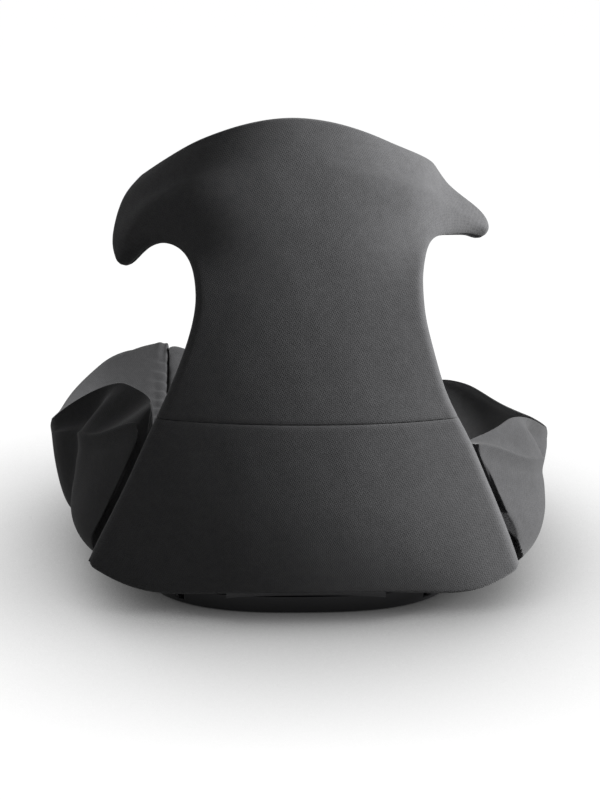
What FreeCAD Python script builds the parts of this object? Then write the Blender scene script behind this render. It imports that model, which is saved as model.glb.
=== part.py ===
"""Posture seat: a padded bucket seat with a sprung backrest, standing on a moulded base tray.

Frame: millimetres, +Z up, +Y the way the sitter faces, +X the sitter's right.
The origin is the middle of the centre grip pad's underside, the face that the seat stands on.
"""
import FreeCAD, Part
import math
import os

V = FreeCAD.Vector

# ---------------------------------------------------------------- driving dimensions
# backrest, rear face
BACK_HEIGHT = 400.0         # top of the backrest above the floor
REARMOST_Y = -200.0         # furthest back point of the backrest
REARMOST_Z = 112.0          # its height
UPPER_BEND_R = 545.0        # side-view radius of the backrest above that height
LOWER_BEND_R = 215.0        # side-view radius below it, where the panel tucks under
PLAN_R = 410.0              # radius of the backrest seen from above
WING_WRAP = 36.0            # how far the shoulder wings curl forward beyond that radius
SEAM_HEIGHT = 176.0         # seam between the lower and upper rear covers
# rows of the rear face: height on the centre line, then half width and height at the edge
LOWER_ROWS = [
    (27.0, 178.0, 49.0),
    (54.0, 167.0, 74.0),
    (92.0, 149.0, 110.0),
    (140.0, 129.0, 156.0),
]
# the same above the seam, with both heights as shares of the way from the seam to the top
UPPER_ROWS = [
    (0.071, 107.5, 0.125),
    (0.268, 93.0, 0.304),
    (0.402, 88.5, 0.433),
    (0.513, 92.0, 0.545),
    (0.612, 108.0, 0.594),
    (0.683, 130.0, 0.567),
    (0.741, 147.0, 0.509),
    (0.804, 152.0, 0.563),
    (0.871, 148.0, 0.634),
    (0.938, 137.0, 0.710),
    (1.000, 120.0, 0.777),
]
FIRST_WING_ROW = 6          # the rows from here on curl forward
FULL_WING_ROW = 10
TOP_DROOP = 1.9             # power by which the top row falls away towards its ends
ARMPIT_ROW = 9              # the rows round this one stay level for longer and fall late
ARMPIT_DROOP = 6.0
ARMPIT_ROWS = 1.8

# backrest layers, counted forward from the rear face
FABRIC = 1.6                # cover fabric with its bonded lining
GAP = 0.3                   # clearance between one layer and the next
WADDING = 2.6
LEAF = 3.0                  # polypropylene spring leaf
LEAF_MARGIN = 12.0          # how far the leaf stays inside the outline
LEAF_WINDOW_X = (-42.0, 0.0, 42.0)
LEAF_WINDOW_Z = (SEAM_HEIGHT + 20.0, SEAM_HEIGHT + 56.0)
LEAF_WINDOW_R = 11.0
BACK_PAD = 12.0             # foam in front of the leaf, at mid width
BACK_PAD_EDGE = 4.0         # the same foam at the outline
LUMBAR_PAD = 9.0            # firmer pad behind that foam
LUMBAR_EDGE = 0.8
LUMBAR_ROWS = (2.6, 9.0)    # rows that it spans
LUMBAR_SHARE = 0.62         # share of the half width that it spans
COVER_STEP = 1.6            # the fabric gusset round the edge

# seat, centre section
CENTRE_HALF_WIDTH = 117.0
WING_GAP = 1.0              # between the centre section and a hip wing
SEAT_FRONT = 196.0
SEAT_REAR = -156.0
SEAT_SHELL = 3.0
SEAT_DISH = 7.0             # how far the middle of the seat dips below the seams
CENTRE_FRONT_DIP = 10.0     # how far the front edge dips between the thighs
SHELL_UNDERSIDE = 27.0
# seat surface along the seam, and the underside, as (y, height)
SEAM_LINE = [(-165, 74), (-110, 65), (-40, 60), (40, 62), (100, 70), (145, 84), (172, 99), (186, 107)]
UNDER_LINE = [(-165, 27.0), (-60, 27.0), (70, 27.0), (120, 31), (155, 43), (176, 60), (188, 82)]

# hip wings: the rim, the lip below it and the widest line of the side wall, as (y, x, height)
WING_REAR = -158.0
RIM_LINE = [
    (-165, 121, 163), (-142, 125, 163), (-112, 140, 162), (-78, 162, 156), (-50, 187, 137),
    (-20, 210, 113), (10, 214, 108), (60, 212, 108), (100, 207, 110), (130, 198, 113),
    (155, 184, 116), (172, 166, 117), (184, 143, 115), (192, 126, 112),
]
LIP_LINE = [
    (-165, 126, 155), (-142, 148, 147), (-112, 176, 131), (-84, 194, 117), (-50, 206, 106),
    (-20, 213, 100), (10, 216, 97), (60, 214, 97), (100, 209, 99), (130, 200, 102),
    (155, 186, 105), (172, 168, 106), (184, 146, 105), (192, 130, 102),
]
WALL_LINE = [
    (-165, 158, 68), (-142, 174, 66), (-112, 190, 64), (-84, 198, 63), (-38, 204, 62),
    (40, 204, 62), (100, 198, 66), (130, 189, 72), (155, 175, 78), (172, 158, 82), (192, 128, 86),
]
# how far the shelf between rim and lip is hollowed, along the wing
SCOOP = [(-165, 0), (-120, 2), (-88, 1), (-55, 7), (-35, 6), (-10, 1), (20, 0), (190, 0)]
PANEL_CLEARANCE = 4.0       # between the backrest's front and a hip wing's rear end
SLIT = 3.5                  # between the backrest's slanted edge and the wing beside it
WING_SHELL = 3.0
WING_SHELL_INSET = 2.0      # fabric and clearance outside the wing's shell

# base tray
TRAY_HALF_WIDTH = 146.0
TRAY_HALF_DEPTH = 122.0
TRAY_MIDDLE_Y = -43.0
TRAY_TOP = 20.0
TRAY_BOTTOM = 1.5
TRAY_TAPER = 11.0           # how much narrower the tray is at its floor
TRAY_WALL = 2.6
TRAY_FLOOR = 2.5
TRAY_POWER = 2.7            # superellipse power of its outline
RIB = 2.0
SLOT_WIDTH = 7.0            # slots in the skirt near its corners
SLOT_DEPTH = 11.0
SLOT_FLOOR = 6.0
SKIRT_SLOTS = [(118.0, 84.0), (102.0, 99.0)]    # (x, distance of the wall from the tray's middle)
GRIP_PAD = 3.0
GRIP_RECESS = GRIP_PAD - TRAY_BOTTOM

# fasteners
SCREW_R = 2.5
SCREW_CLEARANCE = 0.2
HEAD_R = 4.6
HEAD_HEIGHT = 3.0
BOSS_R = 8.0
FLAT_REACH = 113.5          # half width of the seat shell inside its beads
SEAT_RIVETS = [(-96.0, 94.0), (-32.0, 94.0), (32.0, 94.0), (96.0, 94.0)]
WING_RIVETS = [(133.0, -96.0), (133.0, -36.0), (133.0, 24.0)]
HEM_START = 84.0            # the seat cover's hem reaches back to here under the front edge
FASTENER_TOP = 35.0         # how high the rivets reach
SEAT_SCREWS = [(-78.0, 42.0), (78.0, 42.0), (-78.0, -42.0), (78.0, -42.0)]
LEAF_SCREWS = [(-88.0, -122.0), (-36.0, -122.0), (36.0, -122.0), (88.0, -122.0)]
CLAMP_BAR = 2.0
CLAMP_BAR_HALF_WIDTH = 12.0
CLAMP_BAR_HALF_LENGTH = 100.0

# flex lines
BACK_AXIS_Y = -166.0
BACK_AXIS_Z = 28.0
FOOT_HALF_WIDTH = 100.0
FOOT_OVERHANG = 10.0        # how far the leaf's foot reaches forward of its clamp bar
BEAD_HALF_LENGTH = 64.0     # of the backrest's flex bead
BACK_BEAD_R = 3.4
WING_AXIS_X = 118.5
WING_AXIS_Z = 29.0
WING_BEAD_R = 2.0
WING_BEAD = (-146.0, 70.0)  # where the wing's bead starts and ends
BEAD_CLEARANCE = 0.3
SOCKET_WALL = 2.0
HEM_R = 5.2                 # the covers and the foam stay this far from a wing's flex line

# push rivets that hold the cover hems
RIVET_R = 2.0
RIVET_HEAD_R = 4.5
RIVET_HEAD = 1.6


THROUGH = 450.0             # cutting tools reach this far, past anything that they cut


# ---------------------------------------------------------------- small tools
def smooth(points):
    """Natural cubic curve through (position, value) pairs; past the ends it runs on straight."""
    xs = [float(p[0]) for p in points]
    ys = [float(p[1]) for p in points]
    n = len(xs)
    h = [xs[i + 1] - xs[i] for i in range(n - 1)]
    slope = [(ys[i + 1] - ys[i]) / h[i] for i in range(n - 1)]
    curve = [0.0] * n
    upper = [0.0] * n
    for i in range(1, n - 1):
        pivot = 2 * (h[i - 1] + h[i]) - h[i - 1] * upper[i - 1]
        upper[i] = h[i] / pivot
        curve[i] = (6 * (slope[i] - slope[i - 1]) - h[i - 1] * curve[i - 1]) / pivot
    for i in range(n - 2, 0, -1):
        curve[i] -= upper[i] * curve[i + 1]

    def value(x):
        i = 0
        while i < n - 2 and x > xs[i + 1]:
            i += 1
        a = min(max(x - xs[i], 0.0), h[i])
        b = h[i] - a
        inside = (curve[i] * b ** 3 + curve[i + 1] * a ** 3) / (6 * h[i])
        inside += (ys[i] / h[i] - curve[i] * h[i] / 6) * b
        inside += (ys[i + 1] / h[i] - curve[i + 1] * h[i] / 6) * a
        if x < xs[0]:
            return inside + (slope[0] - h[0] * curve[1] / 6) * (x - xs[0])
        if x > xs[-1]:
            return inside + (slope[-1] + h[-1] * curve[-2] / 6) * (x - xs[-1])
        return inside

    return value


def step(a, b, x):
    """0 up to a, 1 from b on, and a smooth rise between."""
    k = min(max((x - a) / (b - a), 0.0), 1.0)
    return k * k * (3 - 2 * k)


def spaced(first, last, count):
    return [first + (last - first) * i / (count - 1) for i in range(count)]


def bunched(first, last, count):
    """Values from first to last that lie closer together towards both ends."""
    return [first + (last - first) * (1 - math.cos(math.pi * i / (count - 1))) / 2 for i in range(count)]


def surface(grid):
    face = Part.BSplineSurface()
    face.interpolate(grid)
    return face.toShape()


def edges_by_end(face, grid):
    """A surface's four edges, each found by the middle of the grid line that it follows."""
    found = []
    lines = [grid[0], [row[-1] for row in grid], grid[-1], [row[0] for row in grid]]
    for line in lines:
        ends = {(round(p.x, 3), round(p.y, 3), round(p.z, 3)) for p in (line[0], line[-1])}
        for edge in face.Edges:
            at = {(round(v.X, 3), round(v.Y, 3), round(v.Z, 3)) for v in edge.Vertexes}
            if at == ends:
                found.append(edge)
    return found


def bridged(grid_a, face_a, grid_b, face_b):
    """Four ruled faces that join the edges of one surface to the edges of another."""
    pairs = zip(edges_by_end(face_a, grid_a), edges_by_end(face_b, grid_b))
    return [Part.makeRuledSurface(a, b) for a, b in pairs]


def closed(faces):
    shell = Part.makeShell(faces)
    shell.sewShape()
    return right_way_out(Part.makeSolid(shell))


def slab(rear_grid, front_grid):
    """Closed solid between two surfaces that are given as grids of the same size."""
    rear, front = surface(rear_grid), surface(front_grid)
    return closed([rear, front] + bridged(rear_grid, rear, front_grid, front))


def lidded_frame(outer_grid, outer_root, inner_grid, inner_root):
    """A surface with a skirt round it: two surfaces, two roots that the skirt reaches to."""
    outer, inner = surface(outer_grid), surface(inner_grid)
    outer_foot, inner_foot = surface(outer_root), surface(inner_root)
    faces = [outer, inner]
    faces += bridged(outer_grid, outer, outer_root, outer_foot)
    faces += bridged(inner_grid, inner, inner_root, inner_foot)
    faces += bridged(outer_root, outer_foot, inner_root, inner_foot)
    return closed(faces)


def right_way_out(solid):
    if solid.Volume < 0:
        solid.reverse()
    return solid


def box(low, high):
    return Part.makeBox(high[0] - low[0], high[1] - low[1], high[2] - low[2], V(*low))


def cylinder(radius, low, high, x, y):
    return Part.makeCylinder(radius, high - low, V(x, y, low), V(0, 0, 1))


def spline(points):
    curve = Part.BSplineCurve()
    curve.interpolate(points)
    return curve.toShape()


def export(name, shape):
    solids = shape.Solids
    made = solids[0] if len(solids) == 1 else Part.makeCompound(solids)
    made.exportStep("parts/" + name + ".step")


# ---------------------------------------------------------------- backrest surface
ABOVE_SEAM = BACK_HEIGHT - SEAM_HEIGHT
BACK_ROWS = LOWER_ROWS + [
    (SEAM_HEIGHT + middle * ABOVE_SEAM, width, SEAM_HEIGHT + edge * ABOVE_SEAM)
    for middle, width, edge in UPPER_ROWS
]
ROW_LAST = len(BACK_ROWS) - 1
centre_height = smooth([(i, row[0]) for i, row in enumerate(BACK_ROWS)])
edge_width = smooth([(i, row[1]) for i, row in enumerate(BACK_ROWS)])
edge_height = smooth([(i, row[2]) for i, row in enumerate(BACK_ROWS)])


def profile_y(z):
    """Rear face on the centre line, seen from the side: two arcs that meet at the rearmost point."""
    radius = UPPER_BEND_R if z > REARMOST_Z else LOWER_BEND_R
    return REARMOST_Y + radius - math.sqrt(radius ** 2 - (z - REARMOST_Z) ** 2)


def back_point(row, t):
    """Rear face at a row, and at t from -1 at the left edge to 1 at the right one."""
    x = edge_width(row) * t
    wing = step(FIRST_WING_ROW, FULL_WING_ROW, row)
    droop = TOP_DROOP + ARMPIT_DROOP * math.exp(-((row - ARMPIT_ROW) / ARMPIT_ROWS) ** 2)
    share = wing * abs(t) ** droop + (1 - wing) * abs(t) ** 3
    z = centre_height(row) + (edge_height(row) - centre_height(row)) * share
    y = profile_y(centre_height(row)) + x * x / (2 * PLAN_R) + wing * WING_WRAP * abs(t) ** 4
    lean = (profile_y(z) - profile_y(centre_height(row))) * (1 - wing)
    return V(x, y + lean, z)


def back_normal(row, t):
    """Unit direction in which the layers stack: square to the plan curve and to the side lean."""
    width = edge_width(row)
    wing = step(FIRST_WING_ROW, FULL_WING_ROW, row)
    plan_slope = t * width / PLAN_R + wing * 4 * WING_WRAP * t ** 3 / width
    z = centre_height(row)
    side_slope = (profile_y(z + 1.0) - profile_y(z - 1.0)) / 2
    return V(-plan_slope, 1.0, -side_slope).normalize()


def edge_room(row):
    """Half width, reduced where a row meets the outline at a slant, so that margins stay square to it."""
    d = 0.05
    low, high = max(row - d, 0.0), min(row + d, float(ROW_LAST))
    along = back_point(high, 1.0) - back_point(low, 1.0)
    across = (back_point(row, 1.0) - back_point(row, 1.0 - d)) * (1 / d)
    slant = along.cross(across).Length / (along.Length * across.Length)
    return across.Length * max(slant, 0.3)


def back_grid(depth, margin, rows=None, share=1.0, row_count=29, column_count=17):
    """Grid of points at a depth inside the rear face, margin in from the outline."""
    row_margin = margin * ROW_LAST / BACK_HEIGHT
    first, last = rows if rows else (row_margin, ROW_LAST - row_margin)
    grid = []
    stops = [row for row in spaced(0, ROW_LAST, row_count) if first + 0.2 < row < last - 0.2]
    for row in [first] + stops + [last]:
        reach = share * (1 - margin / edge_room(row))
        line = []
        for t in bunched(-reach, reach, column_count):
            line.append(back_point(row, t) + back_normal(row, t) * depth(row, t))
        grid.append(line)
    return grid


def lumbar_swell(row, t):
    """0 to 1: how much of the lumbar pad's full thickness is under this point."""
    first, last = LUMBAR_ROWS
    middle, half = (first + last) / 2, (last - first) / 2
    u = min(abs(row - middle) / half, 1.0)
    w = min(abs(t) / LUMBAR_SHARE, 1.0)
    return (1 - u ** 2) ** 1.5 * (1 - w ** 2) ** 1.5


def pad_depth(row, t):
    """Foam thickness: full in the middle, and thin at the outline."""
    rise = min(max(min(row, ROW_LAST - row) / 2.0, 0.0), 1.0)
    crown = math.sqrt(max(0.0, 1 - abs(t) ** 5)) * math.sqrt(1 - (1 - rise) ** 2)
    return BACK_PAD_EDGE + (BACK_PAD - BACK_PAD_EDGE) * crown


wadding_face = FABRIC + GAP
leaf_face = wadding_face + WADDING + 2 * GAP
lumbar_face = leaf_face + LEAF + GAP


def foam_rear(row, t):
    return lumbar_face + LUMBAR_EDGE + GAP + (LUMBAR_PAD - LUMBAR_EDGE) * lumbar_swell(row, t)


def foam_front(row, t):
    return foam_rear(row, t) + pad_depth(row, t)


def back_slab(near, far, margin, **where):
    as_depth = [d if callable(d) else (lambda row, t, d=d: d) for d in (near, far)]
    return slab(*[back_grid(d, margin, **where) for d in as_depth])


# ---------------------------------------------------------------- backrest pieces
def bead(radius, start, end):
    """Cylinder between two points."""
    along = V(*end) - V(*start)
    return Part.makeCylinder(radius, along.Length, V(*start), along)


def socket(radius, start, end, mouth):
    """Channel that snaps round a bead; mouth is the direction that it opens in."""
    along = V(*end) - V(*start)
    ring = bead(radius + BEAD_CLEARANCE + SOCKET_WALL, start, end)
    ring = ring.cut(bead(radius + BEAD_CLEARANCE, start, end))
    towards = V(*mouth).normalize()
    reach = 3 * radius + 10
    side = along.cross(towards).normalize()
    wedge = Part.makePolygon([
        V(*start),
        V(*start) + (towards + side * 1.1) * reach,
        V(*start) + (towards - side * 1.1) * reach,
        V(*start),
    ])
    return ring.cut(Part.Face(wedge).extrude(along))


BACK_BEAD = tuple((x, BACK_AXIS_Y, BACK_AXIS_Z) for x in (-BEAD_HALF_LENGTH, BEAD_HALF_LENGTH))


def leaf_root():
    """Web between the leaf's lower edge and its socket."""
    row = LEAF_MARGIN * ROW_LAST / BACK_HEIGHT + 0.05
    wires = []
    for x in spaced(-BEAD_HALF_LENGTH, BEAD_HALF_LENGTH, 5):
        t = x / edge_width(row)
        rear = back_point(row, t) + back_normal(row, t) * (leaf_face + 0.1)
        front = back_point(row, t) + back_normal(row, t) * (leaf_face + LEAF - 0.1)
        corners = [
            V(x, rear.y, rear.z), V(x, front.y, front.z),
            V(x, BACK_AXIS_Y + 0.8, BACK_AXIS_Z + 4.6), V(x, BACK_AXIS_Y - 4.1, BACK_AXIS_Z + 2.3),
        ]
        wires.append(Part.makePolygon(corners + corners[:1]))
    return right_way_out(Part.makeLoft(wires, True))


def foot_notch():
    """Room in the foam and the front cover for the socket and its web."""
    half = BEAD_HALF_LENGTH + 4.0
    return box((-half, REARMOST_Y + 16.0, 0), (half, REARMOST_Y + 70.0, BACK_AXIS_Z + 22.0))


def back_leaf():
    """Spring leaf with three windows, and the socket that takes the foot's bead."""
    leaf = back_slab(leaf_face, leaf_face + LEAF, LEAF_MARGIN)
    low, high = LEAF_WINDOW_Z
    for x in LEAF_WINDOW_X:
        for z in LEAF_WINDOW_Z:
            leaf = leaf.cut(Part.makeCylinder(LEAF_WINDOW_R, 2 * THROUGH, V(x, -THROUGH, z), V(0, 1, 0)))
        leaf = leaf.cut(box((x - LEAF_WINDOW_R, -THROUGH, low), (x + LEAF_WINDOW_R, THROUGH, high)))
    return leaf.fuse([leaf_root(), socket(BACK_BEAD_R, *BACK_BEAD, (0, 1, -0.8))])


def lumbar_pad():
    def front(row, t):
        return lumbar_face + LUMBAR_EDGE + (LUMBAR_PAD - LUMBAR_EDGE) * lumbar_swell(row, t)

    return back_slab(lumbar_face, front, 0.0, rows=LUMBAR_ROWS, share=LUMBAR_SHARE, column_count=11)


def back_foam():
    return back_slab(foam_rear, foam_front, FABRIC + GAP).cut(foot_notch())


def rear_covers():
    """Rear cover, cut at the seam into a lower and an upper panel."""
    cover = back_slab(0.0, FABRIC, 0.0)
    seam = box((-THROUGH, -THROUGH, SEAM_HEIGHT), (THROUGH, THROUGH, SEAM_HEIGHT + GAP))
    halves = sorted(cover.cut(seam).Solids, key=lambda s: s.CenterOfMass.z)
    return halves[0], halves[-1]


def front_cover():
    """Front cover with the gusset that closes round the foam's edge."""
    def root(row, t):
        return FABRIC + GAP

    def inner(row, t):
        return foam_front(row, t) + GAP

    def outer(row, t):
        return foam_front(row, t) + GAP + FABRIC

    cover = lidded_frame(
        back_grid(outer, 0.0), back_grid(root, 0.0),
        back_grid(inner, COVER_STEP), back_grid(root, COVER_STEP),
    )
    return cover.cut(foot_notch())


# ---------------------------------------------------------------- seat centre
seam_z = smooth(SEAM_LINE)
under_z = smooth(UNDER_LINE)


def seat_front_y(x):
    """Plan outline of the seat's front edge."""
    return SEAT_FRONT - 9.0 * (x / CENTRE_HALF_WIDTH) ** 2


def seat_rear_y(x):
    """The seat's rear edge follows the backrest."""
    return SEAT_REAR + x * x / (2 * PLAN_R)


def seat_top_z(x, y):
    dip = SEAT_DISH + (CENTRE_FRONT_DIP - SEAT_DISH) * step(100, SEAT_FRONT, y)
    return seam_z(y) - dip * (1 - (x / CENTRE_HALF_WIDTH) ** 2)


def centre_section(x, inset_top, inset_under):
    """Closed wire in the plane at x: seat surface, front edge and underside, each set in."""
    front, rear = seat_front_y(x), seat_rear_y(x) + min(inset_top, inset_under)
    nose = 9.0
    top = [
        V(x, y, seat_top_z(x, y) - inset_top)
        for y in (rear, -110, -50, 10, 70, 120, 155, front - 2 * nose)
    ]
    brow = front - nose
    peak = V(x, brow, seat_top_z(x, brow) - inset_top)
    face = V(x, front - inset_top, seat_top_z(x, brow) - nose - inset_top * 0.5)
    chin = V(x, front - nose * 0.8 - (inset_top + inset_under) * 0.4, under_z(front - nose) - 4.0 + inset_under)
    under = [
        V(x, y, under_z(y) + inset_under)
        for y in (165, 140, 110, 60, 0, -80, rear)
    ]
    return Part.Wire([
        spline(top + [peak]),
        spline([peak, face, chin]),
        spline([chin] + under),
        Part.makeLine(under[-1], top[0]),
    ])


def centre_solid(inset_top, inset_under, margin=0.0):
    reach = CENTRE_HALF_WIDTH - margin
    wires = [centre_section(x, inset_top, inset_under) for x in spaced(-reach, reach, 7)]
    return right_way_out(Part.makeLoft(wires, True))


def seat_cover():
    """Cover over the seat's centre, with a hem that turns under the front edge."""
    cover = centre_solid(0.0, -FABRIC - GAP).cut(centre_solid(FABRIC, -GAP))
    cover = cover.cut(box((-THROUGH, -THROUGH, 0), (THROUGH, HEM_START, SHELL_UNDERSIDE + 12)))
    return pierced(cover, SEAT_RIVETS, RIVET_R)


def seat_foam():
    return pierced(centre_solid(FABRIC + GAP, SEAT_SHELL + GAP, FABRIC + GAP), SEAT_RIVETS, RIVET_R)


def pierced(shape, places, radius):
    """Shape with clearance holes up from below, as far as a rivet or a screw reaches."""
    for x, y in places:
        shape = shape.cut(cylinder(radius + SCREW_CLEARANCE, 0, FASTENER_TOP + 1.0, x, y))
    return shape


def seat_shell():
    """Centre pan: the seat's underside, with a boss for each screw."""
    whole = centre_solid(FABRIC + GAP, 0.0, GAP)
    pan = whole.cut(centre_solid(0.0 - 10.0, SEAT_SHELL, -5.0))
    for x, y in SEAT_SCREWS:
        pan = pan.fuse(cylinder(BOSS_R, TRAY_TOP, SHELL_UNDERSIDE + 1, x, y))
    for x, y in LEAF_SCREWS:
        low = TRAY_TOP + LEAF + CLAMP_BAR
        pan = pan.fuse(cylinder(BOSS_R, low, SHELL_UNDERSIDE + 1, x, y))
    pan = pan.common(box((-FLAT_REACH, -THROUGH, 0), (FLAT_REACH, THROUGH, THROUGH)))
    for side in (-1, 1):
        low, high = WING_AXIS_Z - 1.0, WING_AXIS_Z + 1.0
        x_in, x_out = side * (FLAT_REACH - 1.0), side * WING_AXIS_X
        web = box((min(x_in, x_out), WING_BEAD[0], low), (max(x_in, x_out), WING_BEAD[1], high))
        pan = pan.fuse([web, bead(WING_BEAD_R, *wing_axis(side))])
    return pierced(pierced(pan, SEAT_SCREWS + LEAF_SCREWS, SCREW_R), SEAT_RIVETS, RIVET_R)


def wing_axis(side):
    return tuple((side * WING_AXIS_X, y, WING_AXIS_Z) for y in WING_BEAD)


def hem_relief(side):
    """Room that the covers and the foam leave round a wing's flex line."""
    x = side * WING_AXIS_X
    low = box((x - HEM_R, -THROUGH, 0), (x + HEM_R, THROUGH, WING_AXIS_Z))
    return low.fuse(bead(HEM_R, (x, -THROUGH, WING_AXIS_Z), (x, THROUGH, WING_AXIS_Z)))


def rivets(places, low):
    """Push rivets with their heads below the cover's hem."""
    made = []
    for x, y in places:
        head = cylinder(RIVET_HEAD_R, low - RIVET_HEAD, low, x, y)
        made.append(head.fuse(cylinder(RIVET_R, low, FASTENER_TOP, x, y)))
    return Part.makeCompound(made)


# ---------------------------------------------------------------- hip wings
rim_x = smooth([(y, x) for y, x, z in RIM_LINE])
rim_z = smooth([(y, z) for y, x, z in RIM_LINE])
lip_x = smooth([(y, x) for y, x, z in LIP_LINE])
lip_z = smooth([(y, z) for y, x, z in LIP_LINE])
wall_x = smooth([(y, x) for y, x, z in WALL_LINE])
wall_z = smooth([(y, z) for y, x, z in WALL_LINE])
scoop = smooth(SCOOP)
WING_INBOARD = CENTRE_HALF_WIDTH + WING_GAP


def wing_outline(y):
    """Right wing cut at y, as (x, z) points in three runs: seam to rim, rim to lip, lip to underside."""
    inboard = WING_INBOARD
    seam, rim = (inboard, seam_z(y)), (rim_x(y), rim_z(y))
    lip, wall, under = (lip_x(y), lip_z(y)), (wall_x(y), wall_z(y)), (inboard, under_z(y))
    dx, dz = rim[0] - seam[0], rim[1] - seam[1]
    inner = [
        seam,
        (seam[0] + 0.30 * dx, seam[1] + 0.06 * dz),
        (seam[0] + 0.60 * dx, seam[1] + 0.26 * dz),
        (seam[0] + 0.82 * dx, seam[1] + 0.60 * dz),
        (seam[0] + 0.94 * dx, seam[1] + 0.90 * dz),
        rim,
    ]
    across = (lip[0] - rim[0], lip[1] - rim[1])
    length = math.hypot(*across) or 1.0
    out = (-across[1] / length, across[0] / length)
    bulge = 1.5 - scoop(y)
    shelf = [rim]
    for k in (0.25, 0.5, 0.75):
        lift = bulge * math.sin(math.pi * k)
        shelf.append((rim[0] + across[0] * k + out[0] * lift, rim[1] + across[1] * k + out[1] * lift))
    shelf.append(lip)
    drop = wall[1] - under[1]
    tuck = 1 - step(WING_REAR, WING_REAR + 70.0, y)
    outer = [
        lip,
        (lip[0] + (wall[0] - lip[0]) * 0.4 + 1.0, lip[1] + (wall[1] - lip[1]) * 0.5),
        wall,
        (wall[0] - (wall[0] - inboard) * 0.10, wall[1] - drop * (0.55 - 0.10 * tuck)),
        (wall[0] - (wall[0] - inboard) * 0.32, wall[1] - drop * (0.87 - 0.16 * tuck)),
        (wall[0] - (wall[0] - inboard) * 0.64, wall[1] - drop * (0.98 - 0.09 * tuck)),
        under,
    ]
    return inner, shelf, outer


def inset_loop(runs, distances):
    """Each run of a closed loop moved inwards by its own distance; the last run leads back to the start."""
    points, amounts = [], []
    for run, distance in zip(runs, distances):
        for p in run[:-1]:
            points.append(p)
            amounts.append(distance)
    count = len(points)
    moved = []
    for i, p in enumerate(points):
        before, after = points[i - 1], points[(i + 1) % count]
        n1 = inward(before, p)
        n2 = inward(p, after)
        d1, d2 = amounts[i - 1], amounts[i]
        turn = n1[0] * n2[1] - n1[1] * n2[0]
        if abs(turn) < (0.15 if d1 == d2 else 0.6):
            n = (n1[0] + n2[0], n1[1] + n2[1])
            size = math.hypot(*n)
            shift = ((d1 + d2) / 2 * n[0] / size, (d1 + d2) / 2 * n[1] / size)
        else:
            shift = ((d1 * n2[1] - d2 * n1[1]) / turn, (d2 * n1[0] - d1 * n2[0]) / turn)
        moved.append((p[0] + shift[0], p[1] + shift[1]))
    result, start = [], 0
    for run in runs:
        result.append(moved[start:start + len(run)])
        start += len(run) - 1
    return result


def inward(a, b):
    """Unit normal on the inner side of the step from a to b, for a loop that runs clockwise."""
    dx, dz = b[0] - a[0], b[1] - a[1]
    size = math.hypot(dx, dz)
    return dz / size, -dx / size


def wing_wire(y, runs):
    rings = [[V(x, y, z) for x, z in run] for run in runs]
    edges = [spline(ring) for ring in rings]
    edges.append(Part.makeLine(rings[-1][-1], rings[0][0]))
    return Part.Wire(edges)


WING_STATIONS = (-158, -146, -130, -112, -98, -84, -70, -56, -42, -20, 12, 50, 88, 120, 148, 168, 183)


def wing_loft(wire_at, end_inset):
    """Solid through the wires at all stations, trimmed square at both ends."""
    whole = right_way_out(Part.makeLoft([wire_at(y) for y in WING_STATIONS], True))
    if not end_inset:
        return whole
    first, last = WING_STATIONS[0] + end_inset, WING_STATIONS[-1] - end_inset
    return whole.common(box((0, first, 0), (THROUGH, last, THROUGH)))


def wing_loop(y, distances):
    runs = list(wing_outline(y))
    return inset_loop(runs + [[runs[-1][-1], runs[0][0]]], distances)


def wing_solid(distances, end_inset):
    """Right wing with its seat face, shelf, wall and inboard face set in by the given distances."""
    return wing_loft(lambda y: wing_wire(y, wing_loop(y, distances)[:3]), end_inset)


def wing_shell():
    """Polypropylene plate inside the wing's wall and underside."""
    near, far = WING_SHELL_INSET, WING_SHELL_INSET + WING_SHELL

    def wire_at(y):
        outside = wing_loop(y, (near, near, near, near))[2]
        inside = wing_loop(y, (near, near, far, near))[2]
        a = [V(x, y, z) for x, z in outside]
        b = [V(x, y, z) for x, z in reversed(inside)]
        return Part.Wire([spline(a), Part.makeLine(a[-1], b[0]), spline(b), Part.makeLine(b[-1], a[0])])

    return wing_loft(wire_at, 8.0)


def panel_room(extra):
    """The space that a hip wing leaves for the backrest's lower end, grown by extra."""
    def front(row, t):
        return foam_front(row, t) + GAP + FABRIC + PANEL_CLEARANCE + extra

    return back_slab(-40.0, front, -SLIT - extra, rows=(-0.4, 6.0))


def wing_pieces():
    inset = FABRIC + GAP
    beyond_shell = WING_SHELL_INSET + WING_SHELL + GAP
    relief = hem_relief(1)
    inside = wing_solid((FABRIC,) * 4, FABRIC).cut(panel_room(FABRIC))
    cover = wing_solid((0, 0, 0, 0), 0.0).cut(panel_room(0.0)).cut(inside)
    deeper = panel_room(inset)
    foam = wing_solid((inset, inset, beyond_shell, inset), inset).cut(deeper)
    shell = wing_shell().cut(deeper).cut(bead(WING_BEAD_R + BEAD_CLEARANCE, *wing_axis(1)))
    shell = shell.fuse(socket(WING_BEAD_R, *wing_axis(1), (-1, 0, 0)))
    pieces = {"wing_cover": cover.cut(relief), "wing_foam": foam.cut(relief), "wing_shell": shell}
    pieces = {name: pierced(piece, WING_RIVETS, RIVET_R) for name, piece in pieces.items()}
    pieces["wing_rivets"] = rivets(WING_RIVETS, SHELL_UNDERSIDE)
    return pieces


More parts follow.
